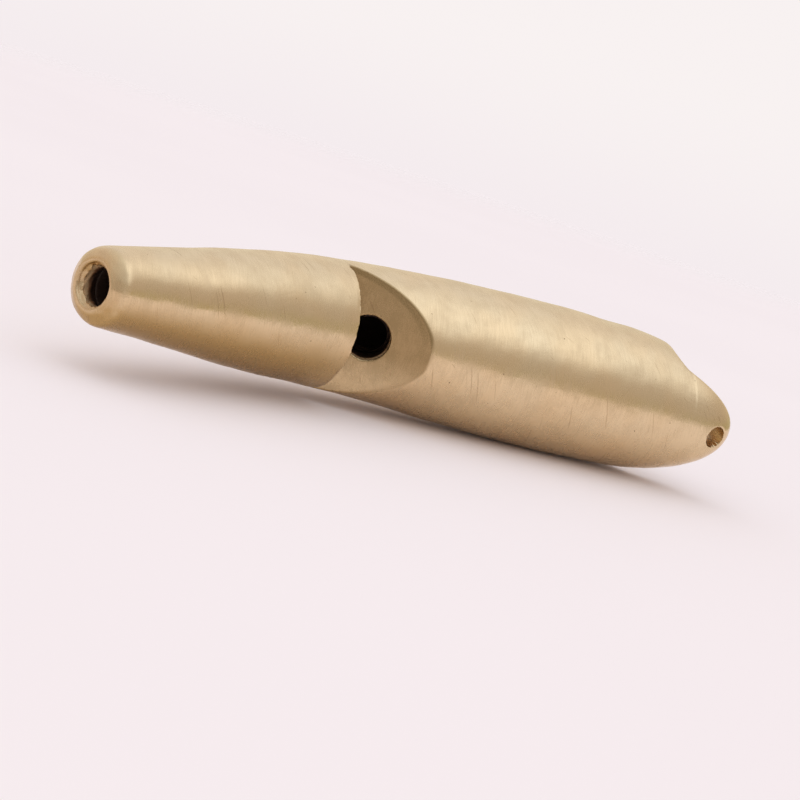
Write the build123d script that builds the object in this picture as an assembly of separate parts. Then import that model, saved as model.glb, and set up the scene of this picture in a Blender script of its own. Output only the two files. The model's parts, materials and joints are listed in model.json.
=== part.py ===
from build123d import *
import math
import os

# An edge-blown whistle in solid brass, 71 mm long, without a pea or any other moving piece.
# Drawing frame: +X runs from the mouth to the tail, -Y is the side with the window notch
# and the lanyard lug, +Z is up. The whistle lies on its side. Every piece is moved at the
# end, so that the origin is the middle of the underside of the whistle's box. All in mm.

# ---- outer form: a curved torpedo, round in section, with its bend at the window ----
# distance from the mouth, sideways place of the centre line, radius
STATIONS = [
    (0.0, -6.1, 3.25),
    (3.1, -5.0, 3.65),
    (7.7, -3.5, 4.2),
    (15.4, -1.2, 5.2),
    (25.6, 1.7, 6.05),
    (34.7, 2.35, 6.6),
    (43.9, 0.95, 7.1),
    (52.0, -0.25, 7.27),
]
# The rounded tail closes like a full half ellipse, while its centre swings out to the lug's tip.
CAP_START_X = 58.0
CAP_RADIUS = 7.2
CAP_LENGTH = 13.2
CAP_FULLNESS = 2.6
CAP_CENTRE_Y = -1.25
CAP_DRIFT = -1.0
CAP_SWING = -5.0
CAP_SWING_POWER = 2.5
CAP_SECTIONS = 9
CAP_CLOSED_SHARE = 0.999

# ---- mouth ----
MOUTH_BEVEL_RADIAL = 0.7
MOUTH_BEVEL_AXIAL = 0.9
MOUTH_BEVEL_SOFTENING = 0.5
BLOW_RIM_RADIUS = 1.95
BLOW_RIM_DEPTH = 0.5

# ---- windway: one straight drilling from the mouth to the step, lined with a thin tube ----
WINDWAY_RADIUS = 1.75
WINDWAY_TUBE_WALL = 0.3
WINDWAY_TUBE_SETBACK = 1.6
WINDWAY_EXIT_Y = -0.35
WINDWAY_RUN_ON = 3.2  # the drill went on into the ramp by this much

# ---- window notch: a square step and a hollowed ramp that meet in a line along Z ----
STEP_X = 27.1
ROOT_Y = 0.72
RAMP_SLOPE = math.radians(22.5)
RAMP_RADIUS = 29.0
RAMP_HOLE_RADIUS = 2.1
RAMP_HOLE_X = STEP_X + 3.25
RAMP_HOLE_DEPTH = 5.2
TUBE_HOLE_RADIUS = 1.85

# ---- tail: ring face, sounding tube and lanyard lug ----
RING_CENTRE = Vector(64.3, -0.3, 0.3)
TAIL_AXIS = Vector(1, -0.1345, -0.05).normalized()
BORE_RADIUS = 3.5
BORE_FRONT_X = 30.6
SOUND_TUBE_WALL = 0.45
LUG_TURN = math.radians(20)  # the lug sits a little below the window's side
LUG_WALL_OFFSET = 3.45
LUG_WALL_LEAN = math.radians(20)
BRAZE_RADIUS = 2.4  # the hollow of the braze between the ring face and the lug
RIM_ROUNDING = 0.7  # the filed edge of the ring and of the lug
EYE_OPENING = Vector(68.2, -9.4, -0.6)
EYE_AXIS = Vector(0.1, -0.94, -0.32).normalized()
EYE_RADIUS = 1.1

# ---- hidden spigot of the body, which locates the mouthpiece ----
SPIGOT_RADIUS = 2.0
SPIGOT_LENGTH = 5.0
SPIGOT_FOOT_Y = 4.9
SPIGOT_LEAN = 0.29
SPIGOT_GAP = 0.02

FAR = 60.0  # longer than any cut
CLEAR = 3.0  # how far a drill starts outside the metal


def outer_stations():
    """The sections of the outer form, from the mouth to the closed tail."""
    rows = list(STATIONS)
    for index in range(CAP_SECTIONS):
        share = CAP_CLOSED_SHARE * math.sin(math.pi / 2 * index / (CAP_SECTIONS - 1))
        centre_y = CAP_CENTRE_Y + CAP_DRIFT * share + CAP_SWING * share**CAP_SWING_POWER
        radius = CAP_RADIUS * math.sqrt(1.0 - share**CAP_FULLNESS)
        rows.append((CAP_START_X + CAP_LENGTH * share, centre_y, radius))
    return rows


def section_planes():
    """A plane for each section, square to the centre line, or to the tail's axis in the cap."""
    rows = outer_stations()
    centre_line = Spline(*[(x, y, 0) for x, y, _ in rows if x <= CAP_START_X])
    planes = []
    for x, y, radius in rows:
        at = centre_line.param_at_point(Vector(x, y, 0)) if x < CAP_START_X else 1
        planes.append((Plane(origin=(x, y, 0), x_dir=(0, 0, 1), z_dir=centre_line % at), radius))
    return planes


SECTIONS = section_planes()
MOUTH = SECTIONS[0][0]
ROOT = Vector(STEP_X, ROOT_Y, 0)
WINDWAY_EXIT = Vector(STEP_X, WINDWAY_EXIT_Y, 0)
WINDWAY_AXIS = (WINDWAY_EXIT - MOUTH.origin).normalized()
RAMP_NORMAL = Vector(-math.sin(RAMP_SLOPE), -math.cos(RAMP_SLOPE), 0)
RAMP_CENTRE = ROOT + RAMP_NORMAL * RAMP_RADIUS
LUG_SIDE = Vector(0, -math.cos(LUG_TURN), -math.sin(LUG_TURN))
LUG_OUT = (LUG_SIDE - TAIL_AXIS * LUG_SIDE.dot(TAIL_AXIS)).normalized()
WALL_FOOT = RING_CENTRE + LUG_OUT * LUG_WALL_OFFSET
WALL_NORMAL = LUG_OUT * math.cos(LUG_WALL_LEAN) - TAIL_AXIS * math.sin(LUG_WALL_LEAN)


def rod(start, direction, radius, length):
    """A round rod from a point along a direction."""
    along = (Align.CENTER, Align.CENTER, Align.MIN)
    return Plane(origin=start, z_dir=direction) * Cylinder(radius, length, align=along)


def beyond(origin, normal):
    """A large block on the side of a plane that its normal points to."""
    along = (Align.CENTER, Align.CENTER, Align.MIN)
    return Plane(origin=origin, z_dir=normal) * Box(2 * FAR, 2 * FAR, 2 * FAR, align=along)


BEFORE_STEP = beyond(ROOT, (-1, 0, 0))
AFTER_STEP = beyond(ROOT, (1, 0, 0))
PAST_RING = beyond(RING_CENTRE, TAIL_AXIS)
LUG_SPACE = beyond(WALL_FOOT, WALL_NORMAL)


def torpedo():
    """The whistle's outside before its tail is cut, with a softened bevel round the mouth."""
    form = loft([plane * Circle(radius) for plane, radius in SECTIONS])
    end = form.faces().sort_by(Axis.X)[0]
    form = chamfer(end.edges(), MOUTH_BEVEL_RADIAL, MOUTH_BEVEL_AXIAL)
    rings = [
        edge
        for edge in form.edges().filter_by(GeomType.LINE, reverse=True)
        if edge.length < 2 * math.pi * (STATIONS[0][2] + MOUTH_BEVEL_SOFTENING)
        and MOUTH.to_local_coords(edge.center()).Z < 2 * MOUTH_BEVEL_AXIAL
    ]
    return fillet(rings, MOUTH_BEVEL_SOFTENING)


def on_plane(edge, origin, normal):
    return all(abs(normal.dot((edge @ share) - origin)) < 0.01 for share in (0, 0.5, 1))


def outer_form():
    """The outside with its ring face and its lug, the braze in their corner and their edges filed round."""
    whole = torpedo()
    metal = (whole - PAST_RING) + (whole & PAST_RING & LUG_SPACE)
    corner = [
        edge
        for edge in metal.edges()
        if on_plane(edge, RING_CENTRE, TAIL_AXIS) and on_plane(edge, WALL_FOOT, WALL_NORMAL)
    ]
    metal = fillet(corner, BRAZE_RADIUS)
    rims = [
        edge
        for edge in metal.edges().filter_by(GeomType.LINE, reverse=True)
        if min((edge @ 0).X, (edge @ 1).X) > CAP_START_X and not edge.is_closed
    ]
    return fillet(rims, RIM_ROUNDING)


def windway_drilling(radius, start):
    return rod(start, WINDWAY_AXIS, radius, FAR)


def spigot(extra=0.0):
    axis = Vector(-1, -SPIGOT_LEAN, 0).normalized()
    buried = 2.0
    foot = Vector(STEP_X, SPIGOT_FOOT_Y, 0) - axis * buried
    return rod(foot, axis, SPIGOT_RADIUS + extra, buried + SPIGOT_LENGTH + extra)


def ramp_cut():
    """What the notch takes off the body: a wide drum, behind the step."""
    drum = Plane(origin=RAMP_CENTRE) * Cylinder(RAMP_RADIUS, FAR)
    return drum & AFTER_STEP


def ramp_drilling(radius):
    """The hole drilled square into the ramp, down into the sounding tube."""
    rise = math.sqrt(RAMP_RADIUS**2 - (RAMP_HOLE_X - RAMP_CENTRE.X) ** 2)
    on_ramp = Vector(RAMP_HOLE_X, RAMP_CENTRE.Y + rise, 0)
    inward = (on_ramp - RAMP_CENTRE).normalized()
    return rod(on_ramp - inward * CLEAR, inward, radius, CLEAR + RAMP_HOLE_DEPTH)


def tail_drilling(radius):
    """A drilling from behind the tail to its blind front end, along the tail's axis."""
    reach = (RING_CENTRE.X - BORE_FRONT_X) / TAIL_AXIS.X
    start = RING_CENTRE - TAIL_AXIS * reach
    return rod(start, TAIL_AXIS, radius, reach + 4 * CLEAR)


def mouthpiece(form):
    rim = MOUTH * Cone(
        BLOW_RIM_RADIUS,
        WINDWAY_RADIUS,
        BLOW_RIM_DEPTH,
        align=(Align.CENTER, Align.CENTER, Align.MIN),
    )
    drilled = windway_drilling(WINDWAY_RADIUS, MOUTH.origin - WINDWAY_AXIS * CLEAR)
    return (form & BEFORE_STEP) - drilled - windway_seat() - rim - spigot(SPIGOT_GAP)


def windway_seat():
    start = MOUTH.origin + WINDWAY_AXIS * WINDWAY_TUBE_SETBACK
    return windway_drilling(WINDWAY_RADIUS + WINDWAY_TUBE_WALL, start)


def windway_tube():
    drilled = windway_drilling(WINDWAY_RADIUS, MOUTH.origin)
    return (windway_seat() - drilled) & BEFORE_STEP


def body(form):
    run_on = rod(WINDWAY_EXIT - WINDWAY_AXIS, WINDWAY_AXIS, WINDWAY_RADIUS, WINDWAY_RUN_ON + 1)
    metal = (form & AFTER_STEP) - PAST_RING - ramp_cut() - run_on
    metal = metal - tail_drilling(BORE_RADIUS + SOUND_TUBE_WALL) - ramp_drilling(RAMP_HOLE_RADIUS)
    return metal + spigot()


def resonator_tube():
    seat = tail_drilling(BORE_RADIUS + SOUND_TUBE_WALL)
    return seat - tail_drilling(BORE_RADIUS) - PAST_RING - ramp_drilling(TUBE_HOLE_RADIUS)


def lanyard_lug(form):
    eye = rod(EYE_OPENING - EYE_AXIS * FAR / 2, EYE_AXIS, EYE_RADIUS, FAR)
    return (form & PAST_RING & LUG_SPACE) - eye - tail_drilling(BORE_RADIUS + SOUND_TUBE_WALL)


def braze_fillet(form):
    """The braze that fills the corner between the ring face and the lug's wall."""
    return (form & PAST_RING) - LUG_SPACE - tail_drilling(BORE_RADIUS)


def make_pieces():
    form = outer_form()
    return {
        "mouthpiece": mouthpiece(form),
        "windway_tube": windway_tube(),
        "body": body(form),
        "resonator_tube": resonator_tube(),
        "lanyard_lug": lanyard_lug(form),
        "braze_fillet": braze_fillet(form),
    }


def middle_of_underside(pieces):
    boxes = [piece.bounding_box() for piece in pieces]
    low = [min(tuple(box.min)[axis] for box in boxes) for axis in range(3)]
    high = [max(tuple(box.max)[axis] for box in boxes) for axis in range(3)]
    return Vector((low[0] + high[0]) / 2, (low[1] + high[1]) / 2, low[2])


pieces = make_pieces()
origin = middle_of_underside(pieces.values())
os.makedirs("parts", exist_ok=True)
for name, piece in pieces.items():
    export_step(Pos(-origin.X, -origin.Y, -origin.Z) * piece, os.path.join("parts", name + ".step"))
print("origin in the drawing frame", origin)
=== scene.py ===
"""The visual model of the brass whistle.

Its solid pieces are joined, meshed finely as one form, worked over as hand finishing leaves
them, and parted again where the real pieces meet. Places in this script are in the drawing
frame: +X from the mouth to the tail, -Y the window's side, +Z up, in millimetres.
"""

import json
import math

import bpy
import numpy as np
from mathutils import Matrix, Vector


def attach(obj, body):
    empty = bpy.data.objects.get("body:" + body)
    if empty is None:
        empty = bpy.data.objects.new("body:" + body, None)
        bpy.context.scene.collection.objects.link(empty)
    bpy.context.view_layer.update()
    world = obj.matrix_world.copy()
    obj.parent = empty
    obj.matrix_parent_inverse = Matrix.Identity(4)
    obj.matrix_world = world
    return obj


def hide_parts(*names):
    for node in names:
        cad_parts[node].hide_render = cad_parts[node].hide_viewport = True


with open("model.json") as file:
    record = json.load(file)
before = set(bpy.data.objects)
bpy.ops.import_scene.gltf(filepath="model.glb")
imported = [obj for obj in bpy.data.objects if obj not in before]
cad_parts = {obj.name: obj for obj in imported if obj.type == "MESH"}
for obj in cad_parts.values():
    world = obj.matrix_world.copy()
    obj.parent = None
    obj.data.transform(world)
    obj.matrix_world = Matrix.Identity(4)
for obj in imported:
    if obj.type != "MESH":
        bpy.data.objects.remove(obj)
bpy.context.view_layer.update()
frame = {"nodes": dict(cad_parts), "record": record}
MM = 0.001
MOUNTS = {mount["name"]: mount for mount in frame["record"]["mounts"]}

# ---- the drawing frame, found from the tail bore, whose middle is known in it ----
BORE_MIDDLE = np.array((47.819, 1.917, 1.124))
SHIFT = np.array(MOUNTS["tail_bore"]["pos_m"]) / MM - BORE_MIDDLE

# ---- features of the whistle, as they are drawn ----
RING_CENTRE = np.array((64.3, -0.3, 0.3))
TAIL_AXIS = np.array(MOUNTS["tail_bore"]["axis"])
EYE_AXIS = np.array(MOUNTS["lanyard_eye"]["axis"])
EYE_MIDDLE = np.array(MOUNTS["lanyard_eye"]["pos_m"]) / MM - SHIFT
EYE_RADIUS = MOUNTS["lanyard_eye"]["dims"]["r_mm"]
LUG_TURN = math.radians(20)
LUG_WALL_OFFSET = 3.45
LUG_WALL_LEAN = math.radians(20)
STEP_X = 27.1
ROOT_Y = 0.72
RAMP_SLOPE = math.radians(22.5)
RAMP_RADIUS = 29.0
RAMP_HOLE_X = 30.35
RAMP_HOLE_RADIUS = 2.1
MOUTH = np.array((0.0, -6.1, 0.0))
WINDWAY_EXIT = np.array((STEP_X, -0.35, 0.0))

# ---- camera ----
CAMERA_AT = np.array((-62.2, -141.0, 22.5))
CAMERA_RIGHT = Vector((0.8066, -0.5046, 0.3078))
CAMERA_FORWARD = Vector((0.5666, 0.8085, -0.1594))
LENS_MM = 82.3
SENSOR_MM = 36.0

# ---- meshing ----
VOXEL = 0.11
TUBE_VOXEL = 0.10
SPLIT = 4  # parts along each CAD triangle's side, so that curves stay round
SHARP_ANGLE = math.radians(50)

# ---- how far from each drilling's axis its wall is still its own, in mm ----
WINDWAY_REACH = 2.15
BORE_REACH = 4.1
HOLE_DARK_REACH = 2.25
HOLE_WALL_REACH = 2.3
EYE_REACH = 1.2

# ---- floor ----
FLOOR_RADIUS = 0.45
FLOOR_DROP = 0.00002
FLOOR_SIDES = 96
FLOOR_FADE = (0.28, 0.42)


def unit(v):
    return v / np.linalg.norm(v)


def ramped(low, high, value):
    """0 below low, 1 above high and smooth between."""
    t = np.clip((value - low) / (high - low), 0, 1)
    return t * t * (3 - 2 * t)


LUG_SIDE = np.array((0, -math.cos(LUG_TURN), -math.sin(LUG_TURN)))
LUG_OUT = unit(LUG_SIDE - TAIL_AXIS * LUG_SIDE.dot(TAIL_AXIS))
WALL_FOOT = RING_CENTRE + LUG_OUT * LUG_WALL_OFFSET
WALL_NORMAL = LUG_OUT * math.cos(LUG_WALL_LEAN) - TAIL_AXIS * math.sin(LUG_WALL_LEAN)
CHORD = unit(np.cross(TAIL_AXIS, LUG_OUT))
EYE_EXIT = EYE_MIDDLE - EYE_AXIS * ((EYE_MIDDLE - WALL_FOOT) @ WALL_NORMAL) / (EYE_AXIS @ WALL_NORMAL)
RAMP_NORMAL = np.array((-math.sin(RAMP_SLOPE), -math.cos(RAMP_SLOPE), 0))
RAMP_CENTRE = np.array((STEP_X, ROOT_Y, 0)) + RAMP_NORMAL * RAMP_RADIUS
WINDWAY_AXIS = unit(WINDWAY_EXIT - MOUTH)


# ======== meshes ========


def mesh_object(name, points, faces):
    """A smooth mesh object from points in the drawing frame, in mm."""
    mesh = bpy.data.meshes.new(name)
    mesh.vertices.add(len(points))
    mesh.vertices.foreach_set("co", np.asarray(points, np.float32).ravel())
    mesh.loops.add(faces.size)
    mesh.loops.foreach_set("vertex_index", faces.ravel().astype(np.int32))
    mesh.polygons.add(len(faces))
    mesh.polygons.foreach_set("loop_start", np.arange(0, faces.size, faces.shape[1], dtype=np.int32))
    mesh.update(calc_edges=True)
    mesh.validate()
    obj = bpy.data.objects.new(name, mesh)
    bpy.context.scene.collection.objects.link(obj)
    return obj


def points_of(mesh):
    co = np.empty(len(mesh.vertices) * 3, np.float32)
    mesh.vertices.foreach_get("co", co)
    return co.reshape(-1, 3).astype(float)


def curved_triangles(node):
    """A CAD piece's triangles, each split into smaller ones that bow out as its corner normals say."""
    mesh = frame["nodes"][node].data
    mesh.calc_loop_triangles()
    count = len(mesh.loop_triangles)
    loops = np.empty(count * 3, np.int32)
    verts = np.empty(count * 3, np.int32)
    normals = np.empty(len(mesh.loops) * 3, np.float32)
    mesh.loop_triangles.foreach_get("loops", loops)
    mesh.loop_triangles.foreach_get("vertices", verts)
    mesh.corner_normals.foreach_get("vector", normals)
    corner = (points_of(mesh) / MM - SHIFT)[verts].reshape(count, 3, 3)
    normal = normals.reshape(-1, 3)[loops].reshape(count, 3, 3).astype(float)
    rows = [(i, j) for i in range(SPLIT + 1) for j in range(SPLIT + 1 - i)]
    index = {row: k for k, row in enumerate(rows)}
    share = np.array([(SPLIT - i - j, i, j) for i, j in rows]) / SPLIT
    flat = np.einsum("gk,nkc->ngc", share, corner)
    height = np.einsum("ngkc,nkc->ngk", flat[:, :, None] - corner[:, None], normal)
    bowed = flat - 0.75 * np.einsum("gk,ngk,nkc->ngc", share, height, normal)
    small = []
    for i, j in rows:
        if i + j < SPLIT:
            small.append((index[i, j], index[i + 1, j], index[i, j + 1]))
        if i + j < SPLIT - 1:
            small.append((index[i + 1, j], index[i + 1, j + 1], index[i, j + 1]))
    faces = np.array(small)[None] + (np.arange(count) * len(rows))[:, None, None]
    return bowed.reshape(-1, 3), faces.reshape(-1, 3)


def with_modifier(obj, kind, **settings):
    """Applies one modifier to an object's mesh."""
    modifier = obj.modifiers.new("work", kind)
    for key, value in settings.items():
        setattr(modifier, key, value)
    done = bpy.data.meshes.new_from_object(obj.evaluated_get(bpy.context.evaluated_depsgraph_get()))
    obj.modifiers.clear()
    obj.data = done
    return obj


def remeshed(name, nodes, voxel):
    """Several CAD pieces as one even mesh."""
    parts = [curved_triangles(node) for node in nodes]
    offsets = np.cumsum([0] + [len(points) for points, _ in parts[:-1]])
    points = np.concatenate([points for points, _ in parts])
    faces = np.concatenate([faces + offset for (_, faces), offset in zip(parts, offsets)])
    obj = mesh_object(name, points, faces)
    return with_modifier(obj, "REMESH", mode="VOXEL", voxel_size=voxel, adaptivity=0)


def neighbour_mean(points, edges):
    total = np.empty_like(points)
    a, b = edges.T
    count = np.bincount(np.concatenate((a, b)), minlength=len(points))
    for axis in range(3):
        weights = np.concatenate((points[b, axis], points[a, axis]))
        total[:, axis] = np.bincount(np.concatenate((a, b)), weights=weights, minlength=len(points))
    return total / np.maximum(count, 1)[:, None]


def edges_of(mesh):
    edges = np.empty(len(mesh.edges) * 2, np.int32)
    mesh.edges.foreach_get("vertices", edges)
    return edges.reshape(-1, 2)


def smoothed(points, edges, rounds, weight=1.0, push_back=0.45):
    """Evens out a mesh. Every second step pushes back, so that thin walls keep their thickness."""
    weight = np.broadcast_to(weight, len(points))[:, None]
    for _ in range(rounds):
        points = points + 0.5 * weight * (neighbour_mean(points, edges) - points)
        if push_back:
            points = points - push_back * weight * (neighbour_mean(points, edges) - points)
    return points


def waves(points, length, seed, count=14):
    """Uneven swell of about -1 to 1, with the given wavelength in mm."""
    rng = np.random.default_rng(seed)
    total = np.zeros(len(points))
    for _ in range(count):
        direction = unit(rng.normal(size=3))
        turn = 2 * math.pi / (length * rng.uniform(0.7, 1.5))
        total += np.sin(points @ direction * turn + rng.uniform(0, 2 * math.pi))
    return total / math.sqrt(count / 2) / 1.6


def normals_of(mesh):
    normals = np.empty(len(mesh.vertices) * 3, np.float32)
    mesh.vertex_normals.foreach_get("vector", normals)
    return normals.reshape(-1, 3).astype(float)


def centre_line(points):
    """Sideways place of the centre line and radius of the outside, as functions of x."""
    stops = np.arange(0.5, STEP_X + 44, 1.0)
    ys, radii = [], []
    for x in stops:
        near = points[np.abs(points[:, 0] - x) < 0.6]
        if len(near) < 8:
            stops = stops[: len(ys)]
            break
        top = near[near[:, 2] > near[:, 2].max() - 0.1]
        ys.append(top[:, 1].mean())
        radii.append((near[:, 2].max() - near[:, 2].min()) / 2)
    return lambda x: np.interp(x, stops, ys), lambda x: np.interp(x, stops, radii)


def half_space(origin, normal):
    """A large box on the side of a plane that its normal points to."""
    reach = 150.0
    turn = Vector(normal).to_track_quat("Z", "Y").to_matrix()
    square = [(-reach, -reach), (reach, -reach), (reach, reach), (-reach, reach)]
    corners = [Vector((x, y, z)) for z in (0, 2 * reach) for x, y in square]
    points = np.array([turn @ corner + Vector(origin) for corner in corners])
    faces = [(3, 2, 1, 0), (4, 5, 6, 7)] + [(k, (k + 1) % 4, (k + 1) % 4 + 4, k + 4) for k in range(4)]
    return mesh_object("cutter", points, np.array(faces))


def round_bar(start, axis, radius, length, sides=64):
    """A closed round bar from a point along an axis."""
    turn = np.array(Vector(axis).to_track_quat("Z", "Y").to_matrix())
    angles = np.arange(sides) * 2 * math.pi / sides
    ring = np.stack((np.cos(angles), np.sin(angles), np.zeros(sides)), 1) * radius
    points = np.concatenate((ring, ring + (0, 0, length), [(0, 0, 0), (0, 0, length)])) @ turn.T + start
    faces = []
    for k in range(sides):
        after = (k + 1) % sides
        faces += [(k, after, after + sides), (k, after + sides, k + sides)]
        faces += [(2 * sides, after, k), (2 * sides + 1, k + sides, after + sides)]
    return mesh_object("cutter", points, np.array(faces))


def cut(obj, cutter, operation):
    bpy.context.view_layer.update()
    with_modifier(obj, "BOOLEAN", object=cutter, operation=operation, solver="MANIFOLD")
    bpy.data.objects.remove(cutter)
    return obj


def copy_of(obj, name):
    twin = bpy.data.objects.new(name, obj.data.copy())
    bpy.context.scene.collection.objects.link(twin)
    return twin


def largest_island(obj):
    """Drops the flecks that a cut along a face leaves."""
    mesh = obj.data
    a, b = edges_of(mesh).T
    label = np.arange(len(mesh.vertices))
    while True:
        before = label.copy()
        low = np.minimum(label[a], label[b])
        np.minimum.at(label, a, low)
        np.minimum.at(label, b, low)
        label = label[label]
        if np.array_equal(before, label):
            break
    keep = label == np.bincount(label).argmax()
    if not keep.all():
        faces = [tuple(f.vertices) for f in mesh.polygons if keep[f.vertices[0]]]
        index = np.cumsum(keep) - 1
        clean = bpy.data.meshes.new(mesh.name)
        clean.from_pydata(points_of(mesh)[keep].tolist(), [], [[int(index[v]) for v in f] for f in faces])
        obj.data = clean
    return obj


# ======== the worked form ========


def off_axis(points, start, axis):
    """Distance from a line, and distance along it."""
    along = (points - start) @ axis
    return np.linalg.norm(points - start - along[:, None] * axis, axis=1), along


def ramp_hole():
    """The middle of the ramp hole's mouth and its direction into the metal."""
    rise = math.sqrt(RAMP_RADIUS**2 - (RAMP_HOLE_X - RAMP_CENTRE[0]) ** 2)
    middle = np.array((RAMP_HOLE_X, RAMP_CENTRE[1] + rise, 0))
    return middle, unit(middle - RAMP_CENTRE)


def blob(points, middle, size):
    return np.exp(-(((points - middle) ** 2).sum(1)) / size**2)


TURNING_STEP = 0.36
CREST_GOUGE = EYE_EXIT + np.array((-0.44, -0.57, 0.13))
GOUGE_SIZE = 1.3
RIPPLE_AXIS = np.array((0.2044, -0.3582, -0.911))
RIPPLE_STEP = 0.42
BRAZE_ENDS = [WALL_FOOT - CHORD * 5.0, WALL_FOOT + CHORD * 5.4]
BRAZE_END_SIZE = 1.3


def whole_form():
    """All the solid pieces as one form, with the marks of filing, drilling and brazing."""
    obj = remeshed("whole", ["mouthpiece", "body", "lanyard_lug", "braze_fillet"], VOXEL)
    points, edges = points_of(obj.data), edges_of(obj.data)
    points = smoothed(points, edges, 3)
    middle_y, radius = centre_line(points)
    x = points[:, 0]
    depth = radius(x) - np.hypot(points[:, 1] - middle_y(x), points[:, 2])
    outside = 1 - ramped(0.1, 0.6, depth)

    soft_edge = ramped(STEP_X + 2, STEP_X + 8, x) * ramped(0.5, 3.5, -points[:, 2]) * outside
    soft_edge *= 1 - ramped(42, 46, x)
    rounds = int(0.5 / VOXEL**2)
    points = smoothed(points, edges, rounds, soft_edge, push_back=0)
    nose = (1 - ramped(2.2, 3.6, x)) * outside * ramped(2.2, 2.6, off_axis(points, MOUTH, WINDWAY_AXIS)[0])
    points = smoothed(points, edges, rounds // 2, nose, push_back=0)

    obj.data.vertices.foreach_set("co", points.astype(np.float32).ravel())
    obj.data.update()
    normal = normals_of(obj.data)
    inward = 0.030 * (1 + waves(points, 7.0, 1)) + 0.009 * (1 + waves(points, 2.6, 2))
    inward = inward * (0.25 + 0.75 * outside)

    lip, along = off_axis(points, MOUTH, WINDWAY_AXIS)
    in_lip = (1 - ramped(2.0, 2.3, lip)) * (1 - ramped(1.0, 1.5, along)) * ramped(0.05, 0.3, along)
    far_wall = ramped(-0.4, 0.6, points[:, 1] - MOUTH[1] - 0.4 * points[:, 2])
    inward += in_lip * (0.07 * far_wall * waves(points, 0.7, 3, 24) - 0.125)
    land = (1 - ramped(3.0, 3.6, lip)) * (1 - ramped(0.8, 1.6, along))
    inward += land * 0.012 * (1 + waves(points, 0.9, 4, 20))

    step_edge = (1 - ramped(0.0, 0.5, STEP_X - x)) * (x < STEP_X + 0.1) * outside
    inward += step_edge * 0.035 * (1 + waves(points, 1.5, 5))

    middle, into = ramp_hole()
    hole, below = off_axis(points, middle, into)
    in_hole = (1 - ramped(2.3, 2.6, hole)) * ramped(0.1, 0.3, below) * (1 - ramped(1.6, 2.2, below))
    rings = np.sin((below + 0.06 * waves(points, 1.3, 8)) * 2 * math.pi / TURNING_STEP)
    inward += in_hole * (x > STEP_X) * (0.03 + 0.035 * rings)

    gouge = blob(points, CREST_GOUGE, GOUGE_SIZE)
    bend = 0.25 * waves(points, 1.1, 6)
    chatter = 0.5 + 0.5 * np.sin((points @ RIPPLE_AXIS + bend) * 2 * math.pi / RIPPLE_STEP)
    inward += gouge * (0.42 + 0.16 * chatter)
    for end in BRAZE_ENDS:
        inward += blob(points, end, BRAZE_END_SIZE) * (0.09 * chatter + 0.03 * (1 + waves(points, 0.5, 7)))

    points = points - normal * inward[:, None]
    obj.data.vertices.foreach_set("co", points.astype(np.float32).ravel())
    obj.data.update()
    return obj, middle_y, radius


SPIGOT_FOOT = np.array((STEP_X, 4.9, 0))
SPIGOT_AXIS = unit(np.array((-1, -0.29, 0)))
SPIGOT_RADIUS = 2.0
SPIGOT_LENGTH = 5.0
BURIED = 2.0


def spigot_bar(extra):
    start = SPIGOT_FOOT - SPIGOT_AXIS * BURIED
    return round_bar(start, SPIGOT_AXIS, SPIGOT_RADIUS + extra, BURIED + SPIGOT_LENGTH + extra)


def parted(whole):
    """The worked form cut into its pieces, along the planes where the real pieces meet."""
    to_step = (STEP_X, 0, 0)
    mouthpiece = cut(copy_of(whole, "mouthpiece_skin"), half_space(to_step, (-1, 0, 0)), "INTERSECT")
    cut(mouthpiece, spigot_bar(0.02), "DIFFERENCE")
    body = cut(copy_of(whole, "body_skin"), half_space(to_step, (1, 0, 0)), "INTERSECT")
    tail = cut(copy_of(body, "tail"), half_space(RING_CENTRE, TAIL_AXIS), "INTERSECT")
    cut(body, half_space(RING_CENTRE, TAIL_AXIS), "DIFFERENCE")
    largest_island(body)
    cut(body, spigot_bar(0.0), "UNION")
    lug = cut(copy_of(tail, "lanyard_lug_skin"), half_space(WALL_FOOT, WALL_NORMAL), "INTERSECT")
    braze = cut(copy_of(tail, "braze_fillet_skin"), half_space(WALL_FOOT, WALL_NORMAL), "DIFFERENCE")
    bpy.data.objects.remove(tail)
    bpy.data.objects.remove(whole)
    # clean edges where the drills went in
    crisp = 0.03
    middle, into = ramp_hole()
    cut(body, round_bar(middle - into * 2, into, RAMP_HOLE_RADIUS + crisp, 3.0, 96), "DIFFERENCE")
    eye_start = EYE_MIDDLE - EYE_AXIS * 4
    cut(lug, round_bar(eye_start, EYE_AXIS, EYE_RADIUS + crisp, 8.0, 72), "DIFFERENCE")
    pieces = {"mouthpiece": mouthpiece, "body": body, "lanyard_lug": lug, "braze_fillet": braze}
    for obj in pieces.values():
        largest_island(obj)
    return pieces


def tube_skin(node, voxel):
    obj = remeshed(node + "_skin", [node], voxel)
    points = smoothed(points_of(obj.data), edges_of(obj.data), 2)
    obj.data.vertices.foreach_set("co", points.astype(np.float32).ravel())
    return obj


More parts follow.
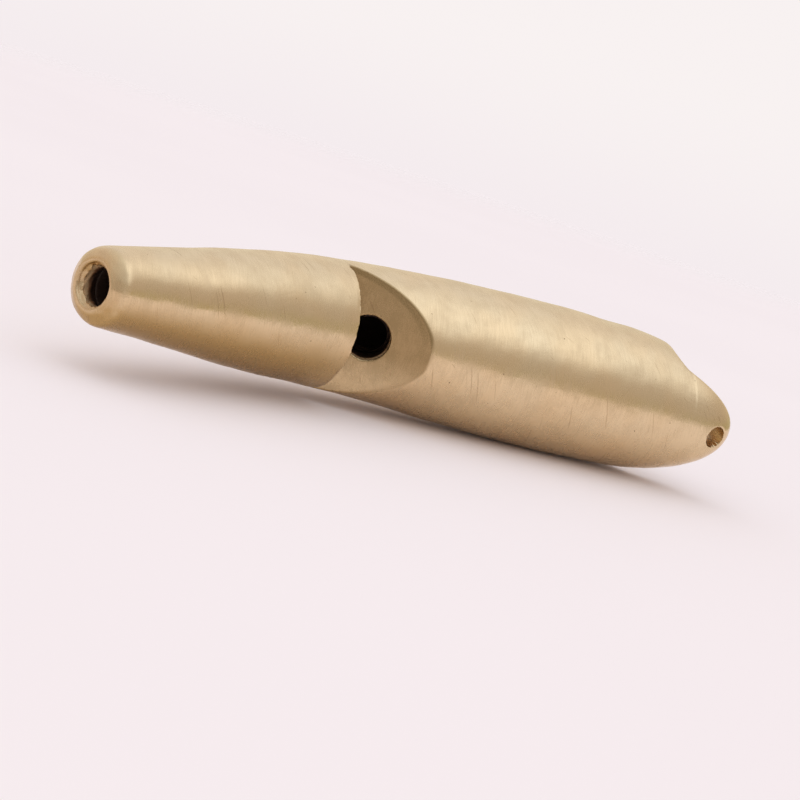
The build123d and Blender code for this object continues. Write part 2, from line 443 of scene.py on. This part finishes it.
def write_values(obj, middle_y, radius):
    """Stores what the brass reads: a place along and round the whistle, how each spot was worked, and where
    shade is painted: in the holes, on the cut faces, along the brush lines and on the downward-facing sides.
    """
    mesh = obj.data
    points = points_of(mesh)
    x = points[:, 0]
    side = points[:, 1] - middle_y(x)
    distance = np.hypot(side, points[:, 2])
    around = np.arctan2(points[:, 2], -side) * radius(x)
    flow = np.stack((x, around, distance), 1)

    skin_depth = radius(x) - distance
    inner = ramped(0.15, 0.4, skin_depth)
    lip, along = off_axis(points, MOUTH, WINDWAY_AXIS)
    in_windway = inner * (lip < WINDWAY_REACH) * ramped(0.5, 1.25, along) * ramped(0.0, 1.5, STEP_X - x)
    bore, past = off_axis(points, RING_CENTRE, TAIL_AXIS)
    in_bore = inner * (bore < BORE_REACH) * ramped(0.2, 4.0, -past) * (x > STEP_X + 2)
    middle, into = ramp_hole()
    hole, below = off_axis(points, middle, into)
    fully_dark = 1.9 if obj.name.startswith("resonator_tube") else 2.0
    in_hole = inner * (hole < HOLE_DARK_REACH) * ramped(0.9, fully_dark, below) * (x > STEP_X) * (below < 7)
    eye, reach = off_axis(points, EYE_MIDDLE, EYE_AXIS)
    in_eye = (eye < EYE_REACH) * (1 - ramped(0.3, 1.8, np.abs(reach))) * (x > 60)
    # painted shade: the holes and bores darken in colour with depth, down to near black
    painted_hole_shade = np.maximum.reduce((in_windway, in_bore, in_hole, 0.12 * in_eye))
    wall = np.maximum.reduce(
        (
            inner * (lip < WINDWAY_REACH) * ramped(0.15, 0.5, along) * (x < STEP_X - 0.05),
            inner * (bore < BORE_REACH) * 0.8 * ramped(0.2, 1.0, -past) * (x > STEP_X + 2),
            inner * (hole < HOLE_WALL_REACH) * ramped(0.05, 0.2, below) * (x > STEP_X) * (below < 4),
            0.5 * in_eye,
        )
    )

    # the ramp and step faces: milled, and given painted shade, which is lighter towards the foot of the ramp
    # as a painted reflection
    to_drum = np.abs(np.hypot(points[:, 0] - RAMP_CENTRE[0], points[:, 1] - RAMP_CENTRE[1]) - RAMP_RADIUS)
    bright_foot = ramped(0.5, 4.5, -points[:, 2])
    ramp = (1 - 0.55 * bright_foot) * (1 - ramped(0.1, 0.25, to_drum)) * ramped(-0.01, 0.05, skin_depth)
    ramp = ramp * (x > STEP_X) * (x < 50)
    step = (1 - ramped(0.05, 0.15, np.abs(x - STEP_X))) * ramped(0.05, 0.3, skin_depth)
    burnt = 0.95 * blob(points, CREST_GOUGE, 1.15)
    for end in BRAZE_ENDS:
        burnt = np.maximum(burnt, 0.7 * blob(points, end, 1.1))
    lip_dirt = (1 - ramped(1.95, 2.25, lip)) * (1 - ramped(1.2, 2.5, along)) * (x < 3)
    burnt = np.maximum(burnt, 0.2 * lip_dirt)
    land = (1 - ramped(2.6, 3.2, lip)) * (1 - ramped(0.6, 1.2, along)) * (x < 4)

    attribute = mesh.attributes.new("flow", "FLOAT_VECTOR", "POINT")
    attribute.data.foreach_set("vector", flow.astype(np.float32).ravel())
    # painted shade: the downward-facing sides are darkened in colour, most of all before x = 22 mm
    down = -normals_of(mesh)[:, 2]
    shade_below = np.maximum(ramped(-0.1, 0.55, down) * (1 - ramped(22, 36, x)), 0.25 * ramped(0.1, 0.9, down))
    values = {
        "painted_hole_shade": painted_hole_shade,
        "cut": np.maximum(ramp, step),
        "burnt": burnt,
        "land": land,
        "shade_below": shade_below,
        "wall": wall,
    }
    for name, value in values.items():
        attribute = mesh.attributes.new(name, "FLOAT", "POINT")
        attribute.data.foreach_set("value", value.astype(np.float32))


def place(obj, node, material, slot):
    """Moves a finished piece to the row frame and lets it stand for its CAD node."""
    obj.data.transform(Matrix.Scale(MM, 4) @ Matrix.Translation(SHIFT))
    obj.data.shade_smooth()
    obj.data.set_sharp_from_angle(angle=SHARP_ANGLE)
    obj.data.materials.clear()
    obj.data.materials.append(material)
    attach(obj, "root")
    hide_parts(node)


# ======== materials ========


class Shade:
    """Small steps for building one shader from nodes."""

    def __init__(self, name, slot_color):
        self.material = bpy.data.materials.new(name)
        self.material.use_nodes = True
        self.material.diffuse_color = (*slot_color, 1)
        self.nodes = self.material.node_tree.nodes
        self.links = self.material.node_tree.links
        self.shader = self.nodes["Principled BSDF"]

    def new(self, kind, **settings):
        node = self.nodes.new(kind)
        for key, value in settings.items():
            setattr(node, key, value)
        return node

    def feed(self, socket, value):
        if hasattr(value, "is_output"):
            self.links.new(value, socket)
        elif isinstance(value, tuple) and len(value) == 3 and socket.type == "RGBA":
            socket.default_value = (*value, 1)
        else:
            socket.default_value = value

    def math(self, operation, a, b=0.0):
        node = self.new("ShaderNodeMath", operation=operation)
        self.feed(node.inputs[0], a)
        self.feed(node.inputs[1], b)
        return node.outputs[0]

    def read(self, name, output="Fac"):
        return self.new("ShaderNodeAttribute", attribute_name=name).outputs[output]

    def stretched(self, vector, scale):
        node = self.new("ShaderNodeVectorMath", operation="MULTIPLY")
        self.feed(node.inputs[0], vector)
        node.inputs[1].default_value = scale
        return node.outputs[0]

    def turned(self, vector, angle):
        node = self.new("ShaderNodeVectorRotate", rotation_type="Z_AXIS")
        self.feed(node.inputs["Vector"], vector)
        node.inputs["Angle"].default_value = angle
        return node.outputs[0]

    def noise(self, vector, scale, detail=2.0, rough=0.5):
        node = self.new("ShaderNodeTexNoise")
        self.feed(node.inputs["Vector"], vector)
        node.inputs["Scale"].default_value = scale
        node.inputs["Detail"].default_value = detail
        node.inputs["Roughness"].default_value = rough
        return node.outputs["Fac"]

    def ramp(self, value, low, high, to_low=0.0, to_high=1.0):
        node = self.new("ShaderNodeMapRange", interpolation_type="SMOOTHSTEP")
        self.feed(node.inputs["Value"], value)
        node.inputs["From Min"].default_value = low
        node.inputs["From Max"].default_value = high
        node.inputs["To Min"].default_value = to_low
        node.inputs["To Max"].default_value = to_high
        return node.outputs["Result"]

    def mix(self, factor, a, b):
        node = self.new("ShaderNodeMix", data_type="RGBA")
        self.feed(node.inputs["Factor"], factor)
        self.feed(node.inputs["A"], a)
        self.feed(node.inputs["B"], b)
        return node.outputs["Result"]

    def blend(self, factor, a, b):
        node = self.new("ShaderNodeMix", data_type="FLOAT")
        self.feed(node.inputs["Factor"], factor)
        self.feed(node.inputs["A"], a)
        self.feed(node.inputs["B"], b)
        return node.outputs["Result"]

    def bump(self, height, distance, normal=None):
        node = self.new("ShaderNodeBump")
        node.inputs["Distance"].default_value = distance
        node.inputs["Strength"].default_value = 1.0
        self.feed(node.inputs["Height"], height)
        if normal is not None:
            self.feed(node.inputs["Normal"], normal)
        return node.outputs["Normal"]


def in_mm(shade):
    """The place on the part in mm, in the row frame."""
    return shade.stretched(shade.new("ShaderNodeTexCoord").outputs["Object"], (1 / MM,) * 3)


def brass(name, slot_color, clean, tint, rough, scratch, blotch):
    """Brass that has been drawn over abrasive by hand."""
    s = Shade(name, slot_color)
    place_mm = in_mm(s)
    flow = s.read("flow", "Vector")

    # long fine lines round the whistle, in two layers that cross at a small angle
    lines_a = s.noise(s.stretched(s.turned(flow, math.radians(4)), (9.0, 0.45, 2.5)), 1.0, 3.0, 0.6)
    lines_b = s.noise(s.stretched(s.turned(flow, math.radians(-9)), (7.0, 0.35, 2.0)), 1.0, 3.0, 0.6)
    patches = s.ramp(s.noise(place_mm, 0.25, 2.0), 0.42, 0.58)
    lines = s.blend(patches, lines_a, lines_b)
    # a few deeper scratches, and pits left by the casting
    tick_way = s.stretched(s.turned(flow, math.radians(35)), (0.5, 6.0, 1.0))
    hair_way = s.stretched(s.turned(flow, math.radians(-22)), (5.0, 0.12, 1.0))
    ticks = s.ramp(s.noise(tick_way, 1.0, 1.0), 0.77, 0.82)
    hairs = s.ramp(s.noise(hair_way, 1.3, 0.0), 0.78, 0.82)
    pits = s.ramp(s.noise(place_mm, 3.1, 1.0), 0.79, 0.84)

    painted_hole_shade = s.read("painted_hole_shade")
    burnt = s.read("burnt")
    milled_and_shaded = s.read("cut")
    land = s.read("land")

    slow = s.noise(place_mm, 0.16, 2.0)
    cloud = s.noise(place_mm, 0.6, 3.0, 0.55)
    color = s.mix(s.ramp(slow, 0.38, 0.62), clean, tint)
    color = s.mix(s.ramp(cloud, 0.35, 0.75, 0.0, blotch), color, tuple(c * 0.74 for c in clean))
    calm = s.ramp(milled_and_shaded, 0.0, 0.4, 1.0, 0.35)
    # painted shade: the brush lines also darken the colour, for the shade in their grooves; their bump is
    # real
    line_shade = s.math("MULTIPLY", s.ramp(lines, 0.3, 0.7, 0.0, 0.24), calm)
    color = s.mix(line_shade, color, tuple(c * 0.72 for c in clean))
    # painted shade on the milled ramp and step faces; the calmer brush lines there are the milling's own
    color = s.mix(s.math("MULTIPLY", milled_and_shaded, 0.82), color, (0.29, 0.185, 0.075))
    color = s.mix(s.math("MULTIPLY", land, 0.35), color, (0.50, 0.31, 0.14))
    # painted shade on the downward-facing sides
    color = s.mix(s.math("MULTIPLY", s.read("shade_below"), 0.9), color, (0.47, 0.30, 0.11))
    fleck = s.math("MULTIPLY", burnt, s.ramp(s.noise(place_mm, 2.2, 3.0), 0.35, 0.65, 0.45, 1.0))
    color = s.mix(fleck, color, (0.22, 0.115, 0.05))
    color = s.mix(s.math("MULTIPLY", pits, 0.85), color, (0.12, 0.06, 0.03))
    color = s.mix(s.math("MULTIPLY", s.math("MAXIMUM", ticks, hairs), 0.35), color, (0.30, 0.18, 0.09))
    # painted shade: deeper into the holes the colour goes dark brown, then near black
    hole_black_shade = s.ramp(painted_hole_shade, 0.0, 1.0, 0.0, 0.97)
    color = s.mix(s.math("MULTIPLY", s.read("wall"), 0.8), color, (0.66, 0.45, 0.24))
    color = s.mix(s.ramp(painted_hole_shade, 0.0, 0.5), color, (0.30, 0.14, 0.06))
    color = s.mix(hole_black_shade, color, (0.030, 0.016, 0.010))
    s.feed(s.shader.inputs["Base Color"], color)
    s.feed(s.shader.inputs["Metallic"], s.ramp(s.read("wall"), 0.0, 1.0, 1.0, 0.3))

    gloss = s.math("ADD", s.ramp(cloud, 0.3, 0.7, -0.05, 0.06), s.ramp(lines, 0.3, 0.7, -0.06, 0.06))
    gloss = s.math("ADD", gloss, s.math("MULTIPLY", burnt, 0.12))
    gloss = s.math("ADD", gloss, s.math("MULTIPLY", painted_hole_shade, 0.2))
    s.feed(s.shader.inputs["Roughness"], s.math("ADD", gloss, rough))

    height = s.math("MULTIPLY", s.math("MULTIPLY", lines, scratch), calm)
    height = s.math("ADD", height, s.math("MULTIPLY", s.noise(place_mm, 5.0, 2.5), GRAIN))
    height = s.math("SUBTRACT", height, s.math("MULTIPLY", pits, 0.02))
    height = s.math("SUBTRACT", height, s.math("MULTIPLY", s.math("MAXIMUM", ticks, hairs), 0.004))
    grit = s.math("MULTIPLY", s.noise(place_mm, 9.0, 2.0), s.math("MULTIPLY", burnt, 0.02))
    s.feed(s.shader.inputs["Normal"], s.bump(s.math("ADD", height, grit), MM))
    return s.material


def braze_metal():
    """Braze metal as it froze: rougher and duller than the brass round it."""
    s = Shade("Braze", (0.6, 0.48, 0.3))
    place_mm = in_mm(s)
    lump = s.noise(place_mm, 1.1, 4.0, 0.6)
    burnt = s.read("burnt")
    color = s.mix(s.ramp(lump, 0.35, 0.7), (0.70, 0.49, 0.26), (0.50, 0.32, 0.15))
    color = s.mix(s.math("MULTIPLY", burnt, 0.8), color, (0.22, 0.115, 0.05))
    s.feed(s.shader.inputs["Base Color"], color)
    s.shader.inputs["Metallic"].default_value = 1.0
    s.feed(s.shader.inputs["Roughness"], s.ramp(lump, 0.3, 0.7, 0.34, 0.52))
    s.feed(s.shader.inputs["Normal"], s.bump(s.math("MULTIPLY", s.noise(place_mm, 2.5, 3.0), 0.05), MM))
    return s.material


FLOOR_MIDDLE = CAMERA_FORWARD.copy()
FLOOR_MIDDLE.z = 0
FLOOR_MIDDLE *= 0.17


def floor_paper():
    """Pale, slightly warm paper, which fades out into the room well away from the whistle."""
    s = Shade("Paper", (0.93, 0.88, 0.88))
    where = s.new("ShaderNodeTexCoord").outputs["Object"]
    tone = s.noise(where, 9.0, 2.0)
    color = s.mix(s.ramp(tone, 0.35, 0.65), (0.915, 0.868, 0.862), (0.925, 0.878, 0.872))
    s.feed(s.shader.inputs["Base Color"], color)
    s.shader.inputs["Roughness"].default_value = 0.9
    s.shader.inputs["Specular IOR Level"].default_value = 0.1
    distance = s.new("ShaderNodeVectorMath", operation="DISTANCE")
    s.feed(distance.inputs[0], where)
    distance.inputs[1].default_value = FLOOR_MIDDLE
    s.feed(s.shader.inputs["Alpha"], s.ramp(distance.outputs["Value"], *FLOOR_FADE, 1.0, 0.0))
    return s.material


GRAIN = 0.0036
SATIN = brass(
    "Satin brass",
    slot_color=(0.74, 0.61, 0.42),
    clean=(0.790, 0.595, 0.355),
    tint=(0.780, 0.610, 0.380),
    rough=0.25,
    scratch=0.003,
    blotch=0.35,
)
TUBE = brass(
    "Tube brass",
    slot_color=(0.5, 0.36, 0.2),
    clean=(0.60, 0.38, 0.19),
    tint=(0.52, 0.30, 0.14),
    rough=0.40,
    scratch=0.003,
    blotch=0.6,
)
BRAZE = braze_metal()


# ======== pieces ========


def build_pieces():
    whole, middle_y, radius = whole_form()
    pieces = parted(whole)
    pieces["windway_tube"] = tube_skin("windway_tube", TUBE_VOXEL)
    pieces["resonator_tube"] = tube_skin("resonator_tube", TUBE_VOXEL)
    finish_of = {
        "mouthpiece": (SATIN, "satin_brass"),
        "body": (SATIN, "satin_brass"),
        "lanyard_lug": (SATIN, "satin_brass"),
        "windway_tube": (TUBE, "tube_brass"),
        "resonator_tube": (TUBE, "tube_brass"),
        "braze_fillet": (BRAZE, "braze"),
    }
    for node, obj in pieces.items():
        write_values(obj, middle_y, radius)
        place(obj, node, *finish_of[node])
    for node, (material, _) in finish_of.items():
        mesh = frame["nodes"][node].data
        mesh.materials.clear()
        mesh.materials.append(material)


build_pieces()


# ======== floor, room and light ========


def floor():
    angles = np.arange(FLOOR_SIDES) * 2 * math.pi / FLOOR_SIDES
    level = np.full(FLOOR_SIDES, -FLOOR_DROP)
    points = np.stack((np.cos(angles) * FLOOR_RADIUS, np.sin(angles) * FLOOR_RADIUS, level), 1)
    obj = mesh_object("floor", points + np.array(FLOOR_MIDDLE), np.arange(FLOOR_SIDES)[None])
    obj.data.materials.append(floor_paper())


# the room's own directions: up, and the side that the window notch faces
ROOM_UP = Vector((-0.334, 0.040, 0.942)).normalized()
ROOM_FRONT = Vector((-0.650, -0.760, 0.0))
ROOM_FRONT = (ROOM_FRONT - ROOM_UP * ROOM_FRONT.dot(ROOM_UP)).normalized()
ROOM_RIGHT = ROOM_UP.cross(ROOM_FRONT)
# how bright each wall is, going up from the floor: height above the horizon in degrees, color
WALLS = {
    "front": [
        (-20, (0.46, 0.44, 0.30)),
        (0, (0.50, 0.46, 0.38)),
        (15, (0.50, 0.46, 0.42)),
        (32, (0.58, 0.57, 0.57)),
        (50, (0.70, 0.71, 0.73)),
        (70, (0.78, 0.80, 0.83)),
        (90, (0.80, 0.82, 0.85)),
    ],
    "back": [
        (-20, (0.61, 0.60, 0.45)),
        (0, (0.86, 0.78, 0.62)),
        (15, (0.86, 0.82, 0.74)),
        (32, (0.90, 0.90, 0.95)),
        (50, (0.84, 0.84, 0.90)),
        (70, (0.82, 0.83, 0.86)),
        (90, (0.80, 0.82, 0.85)),
    ],
    "left": [
        (-20, (0.50, 0.48, 0.32)),
        (0, (0.60, 0.52, 0.40)),
        (15, (0.68, 0.56, 0.44)),
        (32, (0.80, 0.70, 0.62)),
        (50, (0.80, 0.72, 0.70)),
        (70, (0.78, 0.76, 0.76)),
        (90, (0.80, 0.82, 0.85)),
    ],
    "right": [
        (-20, (0.46, 0.42, 0.25)),
        (0, (0.56, 0.50, 0.46)),
        (15, (0.60, 0.55, 0.52)),
        (32, (1.20, 1.25, 1.35)),
        (50, (1.22, 1.28, 1.40)),
        (70, (0.92, 0.96, 1.02)),
        (90, (0.80, 0.82, 0.85)),
    ],
}
FILL_LIGHT = (0.80, 0.76, 0.785)
TOP_LIGHT = (0.44, 0.43, 0.44)
TOP_LIGHT_FROM, TOP_LIGHT_FULL = 35, 55
BACKDROP_LOW = (0.905, 0.835, 0.855)
BACKDROP_HIGH = (0.938, 0.884, 0.880)


def room():
    """A soft room: bright above and behind, darker in front, with paper-white seen past the floor."""
    world = bpy.data.worlds.new("Room")
    bpy.context.scene.world = world
    world.use_nodes = True
    nodes, links = world.node_tree.nodes, world.node_tree.links
    nodes.clear()

    def math_node(operation, *values):
        node = nodes.new("ShaderNodeMath")
        node.operation = operation
        for socket, value in zip(node.inputs, values):
            if hasattr(value, "is_output"):
                links.new(value, socket)
            else:
                socket.default_value = value
        return node.outputs[0]

    direction = nodes.new("ShaderNodeTexCoord").outputs["Generated"]

    def along(axis):
        node = nodes.new("ShaderNodeVectorMath")
        node.operation = "DOT_PRODUCT"
        links.new(direction, node.inputs[0])
        node.inputs[1].default_value = axis
        return node.outputs["Value"]

    height = math_node("MULTIPLY_ADD", math_node("ARCSINE", along(ROOM_UP)), 1 / math.pi, 0.5)
    shares = {}
    for axis, (plus, minus) in ((ROOM_FRONT, ("front", "back")), (ROOM_RIGHT, ("right", "left"))):
        part = along(axis)
        shares[plus] = math_node("POWER", math_node("MAXIMUM", part, 0.0), 2.0)
        shares[minus] = math_node("POWER", math_node("MAXIMUM", math_node("MULTIPLY", part, -1.0), 0.0), 2.0)
    level = math_node("MAXIMUM", math_node("SUBTRACT", 1.0, math_node("POWER", along(ROOM_UP), 2.0)), 1e-5)
    total = None
    for wall, stops in WALLS.items():
        ramp = nodes.new("ShaderNodeValToRGB")
        links.new(height, ramp.inputs[0])
        elements = ramp.color_ramp.elements
        while len(elements) < len(stops):
            elements.new(0.5)
        for element, (degrees, color) in zip(elements, stops):
            element.position = 0.5 + degrees / 180
            element.color = (*color, 1)
        part = nodes.new("ShaderNodeVectorMath")
        part.operation = "SCALE"
        links.new(ramp.outputs["Color"], part.inputs[0])
        links.new(math_node("DIVIDE", shares[wall], level), part.inputs["Scale"])
        if total is None:
            total = part.outputs[0]
        else:
            added = nodes.new("ShaderNodeVectorMath")
            links.new(total, added.inputs[0])
            links.new(part.outputs[0], added.inputs[1])
            total = added.outputs[0]
    glossy = nodes.new("ShaderNodeBackground")
    links.new(total, glossy.inputs["Color"])

    lamp = nodes.new("ShaderNodeMapRange")
    lamp.inputs["From Min"].default_value = 0.5 + TOP_LIGHT_FROM / 180
    lamp.inputs["From Max"].default_value = 0.5 + TOP_LIGHT_FULL / 180
    links.new(height, lamp.inputs["Value"])
    soft = nodes.new("ShaderNodeMix")
    soft.data_type = "RGBA"
    links.new(lamp.outputs["Result"], soft.inputs["Factor"])
    soft.inputs["A"].default_value = (*FILL_LIGHT, 1)
    soft.inputs["B"].default_value = (*(a + b for a, b in zip(FILL_LIGHT, TOP_LIGHT)), 1)
    diffuse = nodes.new("ShaderNodeBackground")
    links.new(soft.outputs["Result"], diffuse.inputs["Color"])
    paper = nodes.new("ShaderNodeMapRange")
    paper.interpolation_type = "SMOOTHSTEP"
    paper.inputs["From Min"].default_value = -0.06
    paper.inputs["From Max"].default_value = 0.05
    links.new(along(Vector((0, 0, 1))), paper.inputs["Value"])
    backdrop = nodes.new("ShaderNodeMix")
    backdrop.data_type = "RGBA"
    links.new(paper.outputs["Result"], backdrop.inputs["Factor"])
    backdrop.inputs["A"].default_value = (*BACKDROP_LOW, 1)
    backdrop.inputs["B"].default_value = (*BACKDROP_HIGH, 1)
    seen = nodes.new("ShaderNodeBackground")
    links.new(backdrop.outputs["Result"], seen.inputs["Color"])

    path = nodes.new("ShaderNodeLightPath")
    by_gloss = nodes.new("ShaderNodeMixShader")
    links.new(path.outputs["Is Glossy Ray"], by_gloss.inputs[0])
    links.new(diffuse.outputs[0], by_gloss.inputs[1])
    links.new(glossy.outputs[0], by_gloss.inputs[2])
    by_camera = nodes.new("ShaderNodeMixShader")
    links.new(path.outputs["Is Camera Ray"], by_camera.inputs[0])
    links.new(by_gloss.outputs[0], by_camera.inputs[1])
    links.new(seen.outputs[0], by_camera.inputs[2])
    links.new(by_camera.outputs[0], nodes.new("ShaderNodeOutputWorld").inputs[0])


def camera():
    data = bpy.data.cameras.new("camera")
    data.lens = LENS_MM
    data.sensor_width = SENSOR_MM
    data.clip_start = 0.005
    back = -CAMERA_FORWARD.normalized()
    right = (CAMERA_RIGHT - back * CAMERA_RIGHT.dot(back)).normalized()
    obj = bpy.data.objects.new("camera", data)
    turn = Matrix((right, back.cross(right), back)).transposed().to_4x4()
    obj.matrix_world = Matrix.Translation((CAMERA_AT + SHIFT) * MM) @ turn
    bpy.context.scene.collection.objects.link(obj)
    bpy.context.scene.camera = obj


floor()
room()
camera()
bpy.context.scene.view_settings.view_transform = "Standard"
